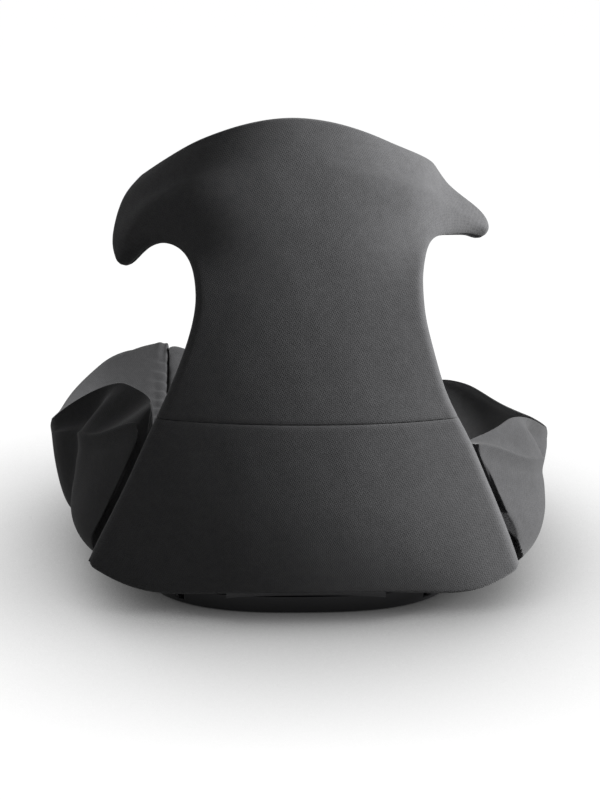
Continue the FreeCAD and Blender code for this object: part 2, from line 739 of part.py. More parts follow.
# ---------------------------------------------------------------- base
def tray_outline(z, inset=0.0):
    """Superellipse that narrows towards the floor."""
    taper = TRAY_TAPER * (TRAY_TOP - z) / (TRAY_TOP - TRAY_BOTTOM)
    a, b = TRAY_HALF_WIDTH - taper - inset, TRAY_HALF_DEPTH - taper - inset
    points = []
    for i in range(32):
        angle = 2 * math.pi * i / 32
        c, s = math.cos(angle), math.sin(angle)
        points.append(V(
            a * math.copysign(abs(c) ** (2 / TRAY_POWER), c),
            TRAY_MIDDLE_Y + b * math.copysign(abs(s) ** (2 / TRAY_POWER), s),
            z,
        ))
    curve = Part.BSplineCurve()
    curve.interpolate(points, PeriodicFlag=True)
    return Part.Wire(curve.toShape())


def tray_block(low, high, inset=0.0):
    return Part.makeLoft([tray_outline(low, inset), tray_outline(high, inset)], True, True)


CORNER_PADS = [(sx * 104.0, TRAY_MIDDLE_Y + sy * 54.0) for sx in (-1, 1) for sy in (-1, 1)]
CORNER_PAD_R = 15.0
CENTRE_PAD = (52.0, 26.0)   # half length and half width of the centre pad


def corner_pad(x, y, grow=0.0, low=0.0):
    return cylinder(CORNER_PAD_R + grow, low, GRIP_PAD + grow, x, y)


def centre_pad(grow=0.0, low=0.0):
    half, width = CENTRE_PAD
    flat = half - width
    pad = box((-flat, -width - grow, low), (flat, width + grow, GRIP_PAD + grow))
    for x in (-flat, flat):
        pad = pad.fuse(cylinder(width + grow, low, GRIP_PAD + grow, x, 0.0))
    return pad.removeSplitter()


def base_tray():
    tray = tray_block(TRAY_BOTTOM, TRAY_TOP)
    floor = TRAY_BOTTOM + TRAY_FLOOR
    hollow = tray_block(floor, TRAY_TOP + 1.0, TRAY_WALL)
    ribs = []
    for y in (-122.0, -82.0, -42.0, 0.0, 42.0):
        ribs.append(box((-THROUGH, y - RIB / 2, floor - 0.5), (THROUGH, y + RIB / 2, TRAY_TOP)))
    for x in (-78.0, 0.0, 78.0):
        ribs.append(box((x - RIB / 2, -THROUGH, floor - 0.5), (x + RIB / 2, THROUGH, TRAY_TOP)))
    for x, y in SEAT_SCREWS + LEAF_SCREWS:
        ribs.append(cylinder(BOSS_R, floor - 0.5, TRAY_TOP, x, y))
    for x, y in CORNER_PADS:
        ribs.append(cylinder(CORNER_PAD_R + 3.0, floor - 0.5, floor + 2.5, x, y))
    ribs.append(centre_pad(3.0, floor - 0.5))
    lattice = ribs[0].multiFuse(ribs[1:])
    tray = tray.cut(hollow.cut(lattice))
    for sx in (-1, 1):
        for sy in (-1, 1):
            for x_slot, wall_y in SKIRT_SLOTS:
                x, y = sx * x_slot, TRAY_MIDDLE_Y + sy * wall_y
                low = (x - SLOT_WIDTH / 2, y - SLOT_DEPTH, SLOT_FLOOR)
                tray = tray.cut(box(low, (x + SLOT_WIDTH / 2, y + SLOT_DEPTH, TRAY_TOP + 1)))
    for x, y in SEAT_SCREWS + LEAF_SCREWS:
        tray = tray.cut(cylinder(SCREW_R + SCREW_CLEARANCE, 0, TRAY_TOP + 1, x, y))
        tray = tray.cut(cylinder(HEAD_R + SCREW_CLEARANCE, 0, TRAY_BOTTOM + HEAD_HEIGHT, x, y))
    tray = tray.cut(centre_pad(0.1))
    for x, y in CORNER_PADS:
        tray = tray.cut(corner_pad(x, y, 0.1))
    return tray


def screw(x, y, top):
    seat = TRAY_BOTTOM + HEAD_HEIGHT
    head = cylinder(HEAD_R, TRAY_BOTTOM + 0.4, seat, x, y)
    socket = cylinder(SCREW_R * 0.55, 0, TRAY_BOTTOM + 2.0, x, y)
    return head.fuse(cylinder(SCREW_R, seat - 0.5, top, x, y)).cut(socket)


def leaf_foot():
    """The leaf's foot: a flat tongue on the tray that carries the bead behind the tray."""
    low, high = TRAY_TOP, TRAY_TOP + LEAF
    start = BACK_AXIS_Y + 13.0
    outline = [
        (start + 8.0, low), (start, low), (BACK_AXIS_Y - 1.0, BACK_AXIS_Z - 1.0),
        (BACK_AXIS_Y + 1.4, BACK_AXIS_Z + 1.4), (start + 2.0, high), (start + 8.0, high), (start + 8.0, low),
    ]
    face = Part.Face(Part.makePolygon([V(-BEAD_HALF_LENGTH, y, z) for y, z in outline]))
    web = face.extrude(V(2 * BEAD_HALF_LENGTH, 0, 0))
    front = LEAF_SCREWS[0][1] + CLAMP_BAR_HALF_WIDTH + FOOT_OVERHANG
    tongue = box((-FOOT_HALF_WIDTH, start + 7.0, low), (FOOT_HALF_WIDTH, front, high))
    foot = tongue.fuse([web, bead(BACK_BEAD_R, *BACK_BEAD)])
    for x, y in LEAF_SCREWS:
        foot = foot.cut(cylinder(SCREW_R + SCREW_CLEARANCE, 0, THROUGH, x, y))
    return foot


def clamp_bar():
    low = TRAY_TOP + LEAF
    y = LEAF_SCREWS[0][1]
    bar = box(
        (-CLAMP_BAR_HALF_LENGTH, y - CLAMP_BAR_HALF_WIDTH, low),
        (CLAMP_BAR_HALF_LENGTH, y + CLAMP_BAR_HALF_WIDTH, low + CLAMP_BAR),
    )
    for x, y in LEAF_SCREWS:
        bar = bar.cut(cylinder(SCREW_R + SCREW_CLEARANCE, 0, THROUGH, x, y))
    return bar


def main():
    os.makedirs("parts", exist_ok=True)
    export("base_tray", base_tray())
    export("grip_pad_centre", centre_pad())
    export("grip_pads_corner", Part.makeCompound([corner_pad(x, y) for x, y in CORNER_PADS]))
    export("seat_screws", Part.makeCompound([screw(x, y, SHELL_UNDERSIDE + SEAT_SHELL) for x, y in SEAT_SCREWS]))
    export("leaf_screws", Part.makeCompound([screw(x, y, SHELL_UNDERSIDE + SEAT_SHELL) for x, y in LEAF_SCREWS]))
    export("leaf_foot", leaf_foot())
    export("clamp_bar", clamp_bar())
    export("seat_shell", seat_shell())
    export("seat_foam", seat_foam())
    export("seat_cover", seat_cover())
    hem = under_z(SEAT_RIVETS[0][1] - RIVET_HEAD_R) - FABRIC - 2 * GAP
    export("seat_rivets", rivets(SEAT_RIVETS, hem))
    lower, upper = rear_covers()
    export("rear_cover_lower", lower)
    export("rear_cover_upper", upper)
    export("front_cover", front_cover())
    export("back_wadding", back_slab(wadding_face, wadding_face + WADDING, FABRIC + GAP))
    export("back_leaf", back_leaf())
    export("lumbar_pad", lumbar_pad())
    export("back_foam", back_foam())
    for name, solid in wing_pieces().items():
        export(name + "_right", solid)
        export(name + "_left", solid.mirror(V(0, 0, 0), V(1, 0, 0)))


main()
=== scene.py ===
"""Looks of the posture seat: its padded covers, plastic, rubber and steel, and the studio round it."""
import math

import bmesh
import bpy
import numpy as np
from mathutils import Matrix, Vector


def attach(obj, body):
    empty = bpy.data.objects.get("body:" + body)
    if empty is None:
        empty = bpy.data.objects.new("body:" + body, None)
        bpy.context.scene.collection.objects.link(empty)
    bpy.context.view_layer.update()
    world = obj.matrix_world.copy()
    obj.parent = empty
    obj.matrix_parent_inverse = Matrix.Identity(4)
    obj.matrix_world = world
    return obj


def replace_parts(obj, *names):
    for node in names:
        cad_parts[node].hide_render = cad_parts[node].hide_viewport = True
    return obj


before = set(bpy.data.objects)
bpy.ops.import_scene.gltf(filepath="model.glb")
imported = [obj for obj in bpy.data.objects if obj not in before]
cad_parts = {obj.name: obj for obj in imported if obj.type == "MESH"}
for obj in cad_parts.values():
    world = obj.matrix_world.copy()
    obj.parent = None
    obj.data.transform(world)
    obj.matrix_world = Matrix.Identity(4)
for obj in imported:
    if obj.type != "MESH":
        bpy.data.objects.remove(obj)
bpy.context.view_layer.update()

MM = 0.001

# ------------------------------------------------------------------ shape values, in millimetres
BACK_HEIGHT = 400.0
REARMOST_Y = -200.0         # furthest back point of the backrest
REARMOST_Z = 112.0          # its height
UPPER_BEND_R = 545.0        # side-view radius of the backrest above that height
LOWER_BEND_R = 215.0        # side-view radius below it
PLAN_R = 410.0              # radius of the backrest seen from above
WING_WRAP = 36.0            # how far the shoulder wings curl forward beyond that radius
SEAM_HEIGHT = 176.0         # seam between the two rear covers
# rows of the rear face: height on the centre line, half width, height at the edge;
# above the seam both heights are shares of the way from the seam to the top
LOWER_ROWS = [(27.0, 178.0, 49.0), (54.0, 167.0, 74.0), (92.0, 149.0, 110.0), (140.0, 129.0, 156.0)]
UPPER_ROWS = [
    (0.071, 107.5, 0.125), (0.268, 93.0, 0.304), (0.402, 88.5, 0.433), (0.513, 92.0, 0.545),
    (0.612, 108.0, 0.594), (0.683, 130.0, 0.567), (0.741, 147.0, 0.509), (0.804, 152.0, 0.563),
    (0.871, 148.0, 0.634), (0.938, 137.0, 0.710), (1.000, 120.0, 0.777),
]
ABOVE_SEAM = BACK_HEIGHT - SEAM_HEIGHT
BACK_ROWS = LOWER_ROWS + [
    (SEAM_HEIGHT + middle * ABOVE_SEAM, width, SEAM_HEIGHT + edge * ABOVE_SEAM)
    for middle, width, edge in UPPER_ROWS
]
TOP_DROOP, ARMPIT_ROW, ARMPIT_DROOP, ARMPIT_ROWS = 1.9, 9.0, 6.0, 1.8
FIRST_WING_ROW, FULL_WING_ROW = 6, 10
ROW_LAST = len(BACK_ROWS) - 1
SEAM_ROW = 3.69             # where the rear seam lies, counted in rows
SEAM_ROW_DROP = 0.27        # how much lower it lies at the edges
SEAM_GAP = 0.004            # how far each rear cover ends from it
EDGE_DEPTH = 7.4            # depth of the perimeter seam behind the rear face
PAD_FRONT = 11.0            # depth of the leaf and what lies behind it
PAD, PAD_EDGE = 14.0, 5.5   # thickness of the front padding, in its middle and at its edge
LUMBAR = 8.2                # height of the lumbar swell
LUMBAR_ROWS = (2.6, 9.0)
LUMBAR_SHARE = 0.62         # half width of the swell, as a share of the backrest's
REAR_ROUND, FRONT_ROUND = 7.0, 9.0
COVER = 1.8                 # thickness of a rear cover
HEM_TURN = 1.6              # how far a cover's inside stays back from its edge

CENTRE_HALF = 117.0         # half width of the seat's centre
SEAT_FRONT, SEAT_REAR = 196.0, -156.0
# a hip wing's lines: (y, z) of its seam with the seat and of its underside, (y, x, z) of the others
SEAM_LINE = [(-165, 74), (-110, 65), (-40, 60), (40, 62), (100, 70), (145, 84), (172, 99), (186, 107)]
UNDER_LINE = [(-165, 27.0), (-60, 27.0), (70, 27.0), (120, 31), (155, 43), (176, 60), (188, 82)]
RIM_LINE = [
    (-165, 121, 163), (-142, 125, 163), (-112, 140, 162), (-78, 162, 156), (-50, 187, 137),
    (-20, 210, 113), (10, 214, 108), (60, 212, 108), (100, 207, 110), (130, 198, 113),
    (155, 184, 116), (172, 166, 117), (184, 143, 115), (192, 126, 112),
]
LIP_LINE = [
    (-165, 126, 155), (-142, 148, 147), (-112, 176, 131), (-84, 194, 117), (-50, 206, 106),
    (-20, 213, 100), (10, 216, 97), (60, 214, 97), (100, 209, 99), (130, 200, 102),
    (155, 186, 105), (172, 168, 106), (184, 146, 105), (192, 130, 102),
]
WALL_LINE = [
    (-165, 158, 68), (-142, 174, 66), (-112, 190, 64), (-84, 198, 63), (-38, 204, 62),
    (40, 204, 62), (100, 198, 66), (130, 189, 72), (155, 175, 78), (172, 158, 82), (192, 128, 86),
]
# depth of the hollow between rim and lip along a wing, as (y, depth)
SCOOP = [
    (-165, 0.5), (-130, 2.0), (-104, 2.5), (-86, -2.0), (-66, 5.0),
    (-48, 11.0), (-30, 8.0), (-12, 2.0), (10, 0), (190, 0),
]
WING_REAR, WING_FRONT = -158.0, 183.0
WING_INBOARD = 117.0


# ------------------------------------------------------------------ curves and grids
def smooth(points):
    """Natural cubic curve through (position, value) pairs, for arrays; straight past the ends."""
    xs = np.array([float(p[0]) for p in points])
    ys = np.array([float(p[1]) for p in points])
    n = len(xs)
    h = np.diff(xs)
    slope = np.diff(ys) / h
    system = np.eye(n)
    right = np.zeros(n)
    for i in range(1, n - 1):
        system[i, i - 1:i + 2] = h[i - 1], 2 * (h[i - 1] + h[i]), h[i]
        right[i] = 6 * (slope[i] - slope[i - 1])
    bend = np.linalg.solve(system, right)

    def value(x):
        x = np.asarray(x, float)
        i = np.clip(np.searchsorted(xs, x) - 1, 0, n - 2)
        a = np.clip(x - xs[i], 0.0, h[i])
        b = h[i] - a
        out = (bend[i] * b ** 3 + bend[i + 1] * a ** 3) / (6 * h[i])
        out = out + (ys[i] / h[i] - bend[i] * h[i] / 6) * b
        out = out + (ys[i + 1] / h[i] - bend[i + 1] * h[i] / 6) * a
        low = slope[0] - h[0] * bend[1] / 6
        high = slope[-1] + h[-1] * bend[-2] / 6
        return out + low * np.minimum(x - xs[0], 0) + high * np.maximum(x - xs[-1], 0)

    return value


def rise(a, b, x):
    """0 at a, 1 at b, with a smooth step between them."""
    k = np.clip((np.asarray(x, float) - a) / (b - a), 0.0, 1.0)
    return k * k * (3 - 2 * k)


def bump(x, middle, width):
    """1 in the middle, falling away smoothly on both sides."""
    return np.exp(-((np.asarray(x, float) - middle) / width) ** 2)


def ripple(p, scale, seed=0):
    """Smooth wandering values between about -1 and 1 at points p, with features about scale wide."""
    rng = np.random.default_rng(seed)
    out = np.zeros(p.shape[:-1])
    for _ in range(9):
        direction = rng.normal(size=3)
        direction *= rng.uniform(0.6, 1.5) / np.linalg.norm(direction)
        out += np.sin(p @ direction * (2 * math.pi / scale) / 2 + rng.uniform(0, 6.3))
    return out / 3.2


def link(obj):
    """Puts an object in the scene."""
    bpy.context.scene.collection.objects.link(obj)
    return obj


def mesh_object(name, points, faces, uvs=None):
    """Smooth-shaded object from points in millimetres; the texture coordinates are lengths too."""
    mesh = bpy.data.meshes.new(name)
    mesh.from_pydata((np.asarray(points) * MM).tolist(), [], [list(map(int, f)) for f in faces])
    if uvs is not None:
        layer = mesh.uv_layers.new(name="UVMap")
        loops = np.empty(len(mesh.loops), dtype=np.int64)
        mesh.loops.foreach_get("vertex_index", loops)
        layer.data.foreach_set("uv", np.asarray(uvs, float)[loops].ravel() * MM)
    mesh.validate()
    mesh.update()
    for polygon in mesh.polygons:
        polygon.use_smooth = True
    return link(bpy.data.objects.new(name, mesh))


def grid_faces(rows, columns, start=0, wrap=False, flip=False):
    """Quads of a grid of points; wrap joins its last column to its first."""
    faces = []
    last = columns if wrap else columns - 1
    for i in range(rows - 1):
        for j in range(last):
            k = (j + 1) % columns
            face = (start + i * columns + j, start + i * columns + k,
                    start + (i + 1) * columns + k, start + (i + 1) * columns + j)
            faces.append(face[::-1] if flip else face)
    return faces


def border(rows, columns):
    """Indices round a grid's edge, in order."""
    ring = list(range(columns))
    ring += [i * columns + columns - 1 for i in range(1, rows)]
    ring += [(rows - 1) * columns + j for j in range(columns - 2, -1, -1)]
    ring += [i * columns for i in range(rows - 2, 0, -1)]
    return ring


def arc(q):
    """How far a quarter round has dropped, from 0 at q = 0 to 1 at q = 1."""
    return 1 - np.sqrt(np.maximum(1 - q * q, 0.0))


def sheet_object(name, outer, inner, uv):
    """Closed sheet of fabric: an outer grid, an inner one, and a border that joins them."""
    rows, columns = outer.shape[:2]
    count = rows * columns
    faces = grid_faces(rows, columns) + grid_faces(rows, columns, count, flip=True)
    ring = border(rows, columns)
    for a, b in zip(ring, ring[1:] + ring[:1]):
        faces.append((b, a, a + count, b + count))
    points = np.concatenate([outer.reshape(-1, 3), inner.reshape(-1, 3)])
    uvs = np.concatenate([uv.reshape(-1, 2)] * 2)
    obj = mesh_object(name, points, faces, uvs)
    outward(obj)
    return obj


def outward(obj):
    """Turns all faces of a closed mesh to its outside."""
    work = bmesh.new()
    work.from_mesh(obj.data)
    bmesh.ops.recalc_face_normals(work, faces=work.faces)
    work.to_mesh(obj.data)
    work.free()


# ------------------------------------------------------------------ backrest
INDEX = range(len(BACK_ROWS))
centre_height = smooth([(i, BACK_ROWS[i][0]) for i in INDEX])
edge_width = smooth([(i, BACK_ROWS[i][1]) for i in INDEX])
edge_height = smooth([(i, BACK_ROWS[i][2]) for i in INDEX])


def profile_y(z):
    """Side view of the backrest's rear face: two arcs that meet at its rearmost point."""
    radius = np.where(z > REARMOST_Z, UPPER_BEND_R, LOWER_BEND_R)
    return REARMOST_Y + radius - np.sqrt(radius ** 2 - (z - REARMOST_Z) ** 2)


def back_point(row, t):
    """Point of the rear face at a row and at a share t of its half width."""
    row, t = np.broadcast_arrays(np.asarray(row, float), np.asarray(t, float))
    x = edge_width(row) * t
    wing = rise(FIRST_WING_ROW, FULL_WING_ROW, row)
    droop = TOP_DROOP + ARMPIT_DROOP * bump(row, ARMPIT_ROW, ARMPIT_ROWS)
    share = wing * np.abs(t) ** droop + (1 - wing) * np.abs(t) ** 3
    middle = centre_height(row)
    z = middle + (edge_height(row) - middle) * share
    y = profile_y(middle) + x * x / (2 * PLAN_R) + wing * WING_WRAP * np.abs(t) ** 4
    y = y + (profile_y(z) - profile_y(middle)) * (1 - wing)
    return np.stack([x, y, z], -1)


def back_normal(row, t):
    """Direction from the rear face to the front."""
    row, t = np.broadcast_arrays(np.asarray(row, float), np.asarray(t, float))
    width = edge_width(row)
    wing = rise(FIRST_WING_ROW, FULL_WING_ROW, row)
    plan = t * width / PLAN_R + wing * 4 * WING_WRAP * t ** 3 / width
    z = centre_height(row)
    side = (profile_y(z + 1.0) - profile_y(z - 1.0)) / 2
    n = np.stack([-plan, np.ones_like(plan), -side], -1)
    return n / np.linalg.norm(n, axis=-1, keepdims=True)


def edge_room(row):
    """Millimetres for one unit of t, square to the outline."""
    row = np.asarray(row, float)
    d = 0.05
    low, high = np.maximum(row - d, 0.0), np.minimum(row + d, float(ROW_LAST))
    along = back_point(high, 1.0) - back_point(low, 1.0)
    across = (back_point(row, 1.0) - back_point(row, 1.0 - d)) / d
    slant = np.linalg.norm(np.cross(along, across), axis=-1)
    slant = slant / (np.linalg.norm(along, axis=-1) * np.linalg.norm(across, axis=-1))
    return np.linalg.norm(across, axis=-1) * np.maximum(slant, 0.3)


ROW_MM = BACK_HEIGHT / ROW_LAST


def edge_share(row, t, radius):
    """0 well inside the outline, 1 on it, counted round the corners."""
    side = 1 - (1 - np.abs(t)) * edge_room(row) / radius
    low = 1 - row * ROW_MM / radius
    high = 1 - (ROW_LAST - row) * ROW_MM / radius
    a = np.maximum(side, 0)
    b = np.maximum(np.maximum(low, high), 0)
    return np.minimum(np.hypot(a, b), 1.0)


def lumbar_swell(row, t):
    """Share of the lumbar swell's height at a point."""
    first, last = LUMBAR_ROWS
    u = np.minimum(np.abs(row - (first + last) / 2) / ((last - first) / 2), 1.0)
    w = np.minimum(np.abs(t) / LUMBAR_SHARE, 1.0)
    return (1 - u ** 2) ** 1.5 * (1 - w ** 2) ** 1.5


def front_depth(row, t):
    """How far the front cover lies before the rear face."""
    end = np.clip(np.minimum(row, ROW_LAST - row) / 2.0, 0, 1)
    crown = np.sqrt(np.maximum(0.0, 1 - np.abs(t) ** 5)) * np.sqrt(1 - (1 - end) ** 2)
    return PAD_FRONT + LUMBAR * lumbar_swell(row, t) + PAD_EDGE + (PAD - PAD_EDGE) * crown - 1.0


def hem_sag(x, z):
    """How far the backrest's hem hangs at either end."""
    return rise(115, 30, z) * (13.0 * bump(x, -140, 55) + 17.0 * bump(x, 150, 60))


def lie(p):
    """How the soft backrest lies: it leans to the left, and its left wing hangs lower."""
    out = p.copy()
    x, z = p[..., 0], p[..., 2]
    reach = rise(70, 150, np.abs(x)) * rise(240, 300, z)
    tip = rise(105, 150, np.abs(x)) * (1 - rise(305, 345, z)) * rise(240, 285, z)
    out[..., 2] += (-8.0 * reach - 8.0 * tip) * (x < 0) + (8.0 * reach + 3.0 * tip) * (x > 0)
    out[..., 2] -= 3.0 * bump(x, -108, 20) * bump(z, 303, 18) + 5.0 * bump(x, 118, 18) * bump(z, 306, 16)
    out[..., 0] -= 1.5 * reach * (x > 0)
    out[..., 0] -= 14.0 * bump(z, 334, 25) * rise(85, 150, x)
    out[..., 0] += 5.0 * bump(z, 298, 16) * rise(60, 105, x) - 3.5 * bump(z, 195, 32) * rise(60, 120, x)
    out[..., 0] -= 11.5 * rise(262, 355, z)
    out[..., 2] -= hem_sag(x, z)
    return out


def back_grid_params(first, last, close_first, close_last, step_rows=0.05, dense=None):
    """Rows from first to last, closer together at an outline end and near a seam."""
    rows = list(np.arange(first, last, step_rows)) + [last]
    fine = [d / ROW_MM for d in (0.35, 0.9, 1.7, 2.8, 4.2, 6.0, 8.2, 11.0)]
    if close_first:
        rows += [first + f for f in fine]
    if close_last:
        rows += [last - f for f in fine]
    if dense is not None:
        rows += [dense + f for f in np.linspace(-0.14, 0.14, 19) if first <= dense + f <= last]
    rows = np.unique(np.round(rows, 4))
    keep = [rows[0]]
    for r in rows[1:]:
        if r - keep[-1] > 0.008:
            keep.append(r)
    keep[-1] = last
    return np.array(keep)


def columns(count=64):
    """Shares t of the half width, closer together near both edges."""
    edge = np.array([0.0, 0.003, 0.008, 0.016, 0.026, 0.039, 0.055, 0.075])
    inner = np.linspace(0.1, 1.0, count)
    half = 1 - np.concatenate([edge, inner])
    return np.concatenate([-half, half[::-1][1:]])


def seam_warp(row, t):
    """Bends the grid so that one of its lines follows the rear seam."""
    return row - SEAM_ROW_DROP * np.abs(t) ** 3 * bump(row, SEAM_ROW, 0.9)


def rear_depth(row, t, seam):
    """How far a rear cover lies within the rear face: at the edge, in the seam, where uneven."""
    depth = EDGE_DEPTH * arc(edge_share(row, t, REAR_ROUND))
    depth = depth + 0.35 * bump(seam, 0, 0.045) + 0.35 * bump(seam, 0, 0.014)
    p = back_point(row, t)
    return depth - 0.28 * ripple(p, 60, 3) - 0.10 * ripple(p, 22, 5)


def back_sheet(name, row, t, outer, inner_depth):
    """Cover of the backrest: its outside, and an inside at the given depth, drawn in from the edge."""
    tuck = 1 - HEM_TURN / edge_room(row)
    inner = back_point(row, t * tuck) + back_normal(row, t * tuck) * inner_depth[..., None]
    uv = np.stack([edge_width(row) * t, centre_height(row)], -1)
    return sheet_object(name, lie(outer), lie(inner), uv)


def rear_piece(name, first, last, ends):
    """Rear cover between two rows; ends says which of them lie on the backrest's outline."""
    rows = back_grid_params(first, last, ends[0], ends[1], dense=SEAM_ROW)
    r, t = np.meshgrid(rows, columns(), indexing="ij")
    row = seam_warp(r, t)
    depth = rear_depth(row, t, r - SEAM_ROW)
    outer = back_point(row, t) + back_normal(row, t) * depth[..., None]
    return back_sheet(name, row, t, outer, np.maximum(depth, 0) + COVER)


def front_piece(name):
    """Front cover, over the whole of the backrest."""
    rows = back_grid_params(0.0, float(ROW_LAST), True, True)
    row, t = np.meshgrid(rows, columns(), indexing="ij")
    full = front_depth(row, t)
    q = edge_share(row, t, FRONT_ROUND)
    depth = full - (full - EDGE_DEPTH - 0.5) * arc(q)
    p = back_point(row, t)
    depth = depth + 0.5 * ripple(p, 70, 11) * (1 - q)
    outer = p + back_normal(row, t) * depth[..., None]
    return back_sheet(name, row, t, outer, np.maximum(depth - 2.0, EDGE_DEPTH + 0.6))


# ------------------------------------------------------------------ hip wings
def line_curves(line):
    """Curves for x and z along a line of (y, x, z) points."""
    return smooth([(y, x) for y, x, z in line]), smooth([(y, z) for y, x, z in line])


seam_z, under_z, scoop = smooth(SEAM_LINE), smooth(UNDER_LINE), smooth(SCOOP)
rim_x, rim_z = line_curves(RIM_LINE)
lip_x, lip_z = line_curves(LIP_LINE)
wall_x, wall_z = line_curves(WALL_LINE)


def run_points(points, count):
    """Smooth open curve through 2-D points, sampled evenly."""
    points = np.array(points, float)
    steps = np.linalg.norm(np.diff(points, axis=0), axis=1)
    at = np.concatenate([[0], np.cumsum(steps)])
    s = np.linspace(0, at[-1], count)
    return np.stack([smooth(list(zip(at, points[:, 0])))(s), smooth(list(zip(at, points[:, 1])))(s)], -1)


SEAT_TILT = {-1: 32.0, 1: 18.0}         # rise of the seat's left front corner, and drop of its right one
RIM_LEAN, LIP_LEAN, WALL_LEAN = 16.0, 8.8, 4.0  # how far both rear pods lean to the right
VALLEY_Y, VALLEY_WIDTH = -56.0, 17.0    # crease between the wing's rear pod and its long side
RIM_AT, LIP_AT, UNDER_AT = 62, 98, 178  # indices of the rim, the lip and the underside's end in a section
STITCH = 9.0                            # spacing of the puckers along the seams
STITCH_WIDTH = 2.4                      # half width of the furrow that the bolster's seam draws
PIPING = 1.1                            # height of the welt along the rim
LIP_SHARE = 0.75                        # how much of the rim's lift the lip follows
PANEL_ROOM = 6.5                        # clearance of a hip wing before the backrest's lower end
# how each wing's rim lies off its line, as (y, height): -1 is the left wing, 1 the right
RIM_LIE = {
    -1: smooth([(-158, 0), (-110, -4), (-85, 0), (-56, 9), (-30, 13), (0, 9.5),
                (40, 2), (80, -8), (120, -21), (160, -26), (190, -16)]),
    1: smooth([(-158, -9), (-130, -9), (-90, -4), (-56, -0.5), (-20, 2), (20, -1.5),
               (60, -7), (100, -10), (140, -9), (180, -1), (190, 0)]),
}


def tilt_share(y):
    """Share of the seat's tilt at y."""
    return rise(40, 185, y)


def pod_share(y):
    """0 along a wing's side, 1 in the pod at its rear."""
    return rise(-10, -80, y)


def right_swell(y, side):
    """How much wider the right wing is halfway along, at its rim and lip."""
    return 6.0 * bump(y, 0, 60) * (side > 0)


def lip_shift(y, side):
    """How far a wing's lip stands out beyond its line at y."""
    lean = side * LIP_LEAN * pod_share(y) * rise(WING_REAR, -100, y)
    return lean - 11.0 * bump(y, VALLEY_Y, VALLEY_WIDTH) + right_swell(y, side)


def wall_shift(y, side):
    """The same for the widest line of the wall."""
    wide = 4.0 * bump(y, -8, 24) + (4.0 * bump(y, 0, 60) + 5.0 * rise(-40, -90, y)) * (side > 0)
    return side * WALL_LEAN * pod_share(y) - 8.0 * bump(y, VALLEY_Y, VALLEY_WIDTH) + wide


def rim_lift(y, side):
    """How much higher a wing's rim stands than its line."""
    lift = -side * (13.0 * pod_share(y) + SEAT_TILT[side] * tilt_share(y)) + 4.0 * pod_share(y)
    return lift + RIM_LIE[side](y)


def wing_section(y, side):
    """One closed section of a hip wing at y, as (x, z) points: bolster, shelf, wall, side at the seat."""
    inboard = WING_INBOARD
    lift = float(rim_lift(y, side))
    lean = side * RIM_LEAN * float(pod_share(y)) * float(rise(WING_REAR, -100, y))
    sx = inboard
    sz = float(seam_z(y)) - side * SEAT_TILT[side] * float(tilt_share(y))
    rx = float(rim_x(y)) + lean + float(right_swell(y, side))
    rz = float(rim_z(y)) + lift
    lx = float(lip_x(y)) + lip_shift(y, side)
    lz = float(lip_z(y)) + lift * LIP_SHARE + 8.0 * float(rise(-110, -150, y)) * (side > 0)
    wx = float(wall_x(y)) + wall_shift(y, side)
    wz = float(wall_z(y))
    uz = float(under_z(y))
    # from the seat's seam up the bolster to the rim: shares of the way across and of the way up
    inner = [(sx + across * (rx - sx), sz + up * (rz - sz)) for across, up in
             [(0, 0), (0.30, 0.06), (0.60, 0.26), (0.82, 0.60), (0.94, 0.90)]] + [(rx, rz)]
    # from the rim to the lip, hollowed
    ax, az = lx - rx, lz - rz
    length = math.hypot(ax, az) or 1.0
    ox, oz = -az / length, ax / length
    bulge = 1.5 - float(scoop(y)) * min(1.0, length / 30.0 + 0.35)
    shelf = [(rx, rz)]
    for k in (0.2, 0.4, 0.6, 0.8):
        h = bulge * math.sin(math.pi * k)
        shelf.append((rx + ax * k + ox * h, rz + az * k + oz * h))
    shelf.append((lx, lz))
    # from the lip round the wall to the underside
    drop = wz - uz
    tuck = 1 - float(rise(WING_REAR, WING_REAR + 70.0, y))
    sag = 7.0 * float(rise(-60, -120, y)) * (side > 0)
    outer = [(lx, lz), (lx + (wx - lx) * 0.4 + 1.0, lz + (wz - lz) * 0.5), (wx, wz),
             (wx - (wx - inboard) * 0.10, wz - drop * (0.55 - 0.10 * tuck) - sag * 0.8),
             (wx - (wx - inboard) * 0.32, wz - drop * (0.87 - 0.16 * tuck) - sag),
             (wx - (wx - inboard) * 0.64, wz - drop * (0.98 - 0.09 * tuck) - sag * 0.6),
             (inboard + 7.0, uz + 0.5)]
    # and up beside the seat
    heel = uz + 9.0
    closing = np.array([
        (inboard + 7.0, uz + 0.5), (inboard, heel), (inboard, (heel + sz) / 2), (sx, sz - 4.0)])
    k = np.linspace(0, 3, 16)[:-1]
    last = np.stack([np.interp(k, range(4), closing[:, 0]), np.interp(k, range(4), closing[:, 1])], -1)
    return np.concatenate([
        run_points(inner, RIM_AT + 1)[:-1], run_points(shelf, LIP_AT - RIM_AT + 1)[:-1],
        run_points(outer, UNDER_AT - LIP_AT + 1)[:-1], last])


def soften(loops):
    """Rounds the corners of all sections of a wing: the rim, the lip, and both ends of the underside."""
    count = loops.shape[1]
    soft = np.zeros(count)
    for at, reach in ((RIM_AT, 3), (LIP_AT, 1), (UNDER_AT, 3), (0, 3)):
        for j in range(-reach, reach + 1):
            soft[(at + j) % count] = 1.0
    for _ in range(6):
        mean = (np.roll(loops, 1, axis=1) + np.roll(loops, -1, axis=1)) / 2
        loops = loops + (mean - loops) * soft[None, :, None] * 0.6
    return loops


